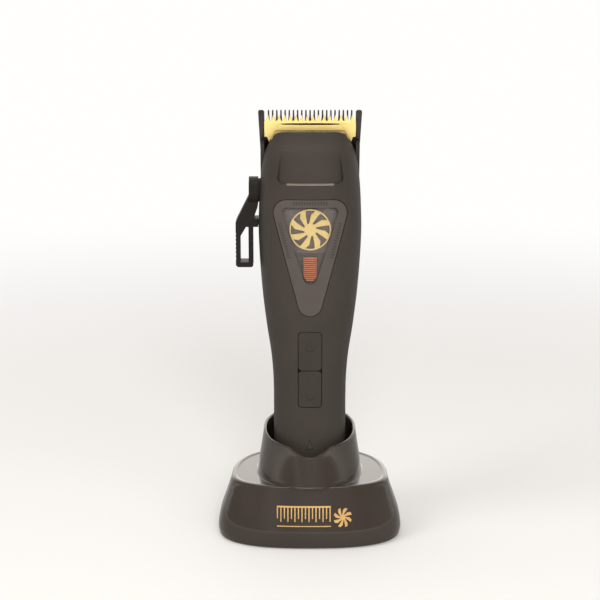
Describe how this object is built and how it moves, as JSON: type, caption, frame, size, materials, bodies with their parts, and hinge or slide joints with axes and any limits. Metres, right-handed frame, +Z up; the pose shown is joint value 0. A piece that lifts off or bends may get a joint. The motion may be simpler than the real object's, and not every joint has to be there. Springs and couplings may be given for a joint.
{
  "type": "hair clipper",
  "caption": "Cordless hair clipper with a sliding comb-toothed cutter, side taper lever, face window and two push keys, standing in a charging base.",
  "frame": {"origin": "middle of the stand's footprint, on the plane its feet stand on", "axes": "+Z up along the clipper, -Y towards the face of the clipper, +X to the viewer's right when facing it"},
  "size_m": [0.0844, 0.0662, 0.1966],
  "materials": {
    "soft_black": "soft-touch coating, low sheen",
    "gloss_black": "polished",
    "inner_black": "fine texture",
    "grey_panel": "satin grey",
    "clear_lens": "clear",
    "light_guide": "tinted light guide",
    "gold": "gold-coloured coating, polished",
    "black_steel": "black coating on ground steel",
    "steel": "bright",
    "copper": "copper winding, lacquered",
    "circuit_board": "green solder mask",
    "rubber": "matt",
    "cell_wrap": "heat-shrink wrap"
  },
  "bodies": {
    "stand": {"stand_housing": "gloss_black", "stand_cover": "inner_black", "cover_screw_1": "steel", "cover_screw_2": "steel", "cover_screw_3": "steel", "cover_screw_4": "steel", "rubber_foot_1": "rubber", "rubber_foot_2": "rubber", "rubber_foot_3": "rubber", "rubber_foot_4": "rubber", "ballast_plate": "steel", "charging_board": "circuit_board", "contact_barrel_left": "steel", "contact_barrel_right": "steel", "power_inlet": "steel"},
    "pin_left": {"contact_pin_left": "gold"},
    "pin_right": {"contact_pin_right": "gold"},
    "clipper": {"front_shell": "soft_black", "rear_shell": "soft_black", "head_frame": "soft_black", "motor_cap": "inner_black", "power_switch": "inner_black", "speed_switch": "inner_black", "window_bezel": "grey_panel", "window_tray": "grey_panel", "window_lens": "clear_lens", "status_lens": "light_guide", "rosette": "gold", "charge_contact_left": "gold", "charge_contact_right": "gold", "fixed_blade": "black_steel", "case_screw_1": "steel", "case_screw_2": "steel", "case_screw_3": "steel", "case_screw_4": "steel", "blade_screw_left": "steel", "blade_screw_right": "steel", "lever_washer": "steel", "charge_port": "steel", "motor_can": "steel", "bearing_lower": "steel", "bearing_upper": "steel", "motor_coil": "copper", "stator_winding": "copper", "main_board": "circuit_board", "battery_cell": "cell_wrap"},
    "lever": {"taper_lever": "soft_black", "lever_cam": "inner_black", "lever_screw": "steel"},
    "carriage": {"cutter_carriage": "inner_black", "tension_spring_left": "steel", "tension_spring_right": "steel"},
    "cutter": {"cutter_blade": "gold", "drive_yoke": "inner_black"},
    "rotor": {"motor_shaft": "steel", "motor_magnet": "black_steel", "eccentric": "steel"},
    "power_key": {"power_button": "soft_black"},
    "speed_key": {"speed_button": "soft_black"}
  },
  "joints": [
    {"name": "clipper_lift", "type": "slide", "parent": "stand", "child": "clipper", "axis": [0, 0, 1], "range_m": [0, 0.045]},
    {"name": "lever_swing", "type": "hinge", "parent": "clipper", "child": "lever", "pos_m": [-0.0235, -0.0012, 0.1606], "axis": [1, 0, 0], "range_deg": [0, 45]},
    {"name": "taper_slide", "type": "slide", "parent": "clipper", "child": "carriage", "axis": [0, -0.2079, 0.9781], "range_m": [-0.00155, 0]},
    {"name": "cutter_stroke", "type": "slide", "parent": "carriage", "child": "cutter", "axis": [1, 0, 0], "range_m": [-0.0012, 0.0012]},
    {"name": "motor_spin", "type": "hinge", "parent": "clipper", "child": "rotor", "pos_m": [0, -0.0012, 0.12], "axis": [0, 0, 1], "continuous": true},
    {"name": "power_button_press", "type": "slide", "parent": "clipper", "child": "power_key", "axis": [0, 1, 0], "range_m": [0, 0.0005], "stiffness_N_per_m": 300},
    {"name": "speed_button_press", "type": "slide", "parent": "clipper", "child": "speed_key", "axis": [0, 1, 0], "range_m": [0, 0.0005], "stiffness_N_per_m": 300},
    {"name": "contact_pin_left_press", "type": "slide", "parent": "stand", "child": "pin_left", "axis": [0, 0, 1], "range_m": [-0.0011, 0], "stiffness_N_per_m": 150},
    {"name": "contact_pin_right_press", "type": "slide", "parent": "stand", "child": "pin_right", "axis": [0, 0, 1], "range_m": [-0.0011, 0], "stiffness_N_per_m": 150}
  ],
  "couplings": [
    {"joint": "taper_slide", "follows": "lever_swing", "m_per_rad": -0.001952}
  ]
}
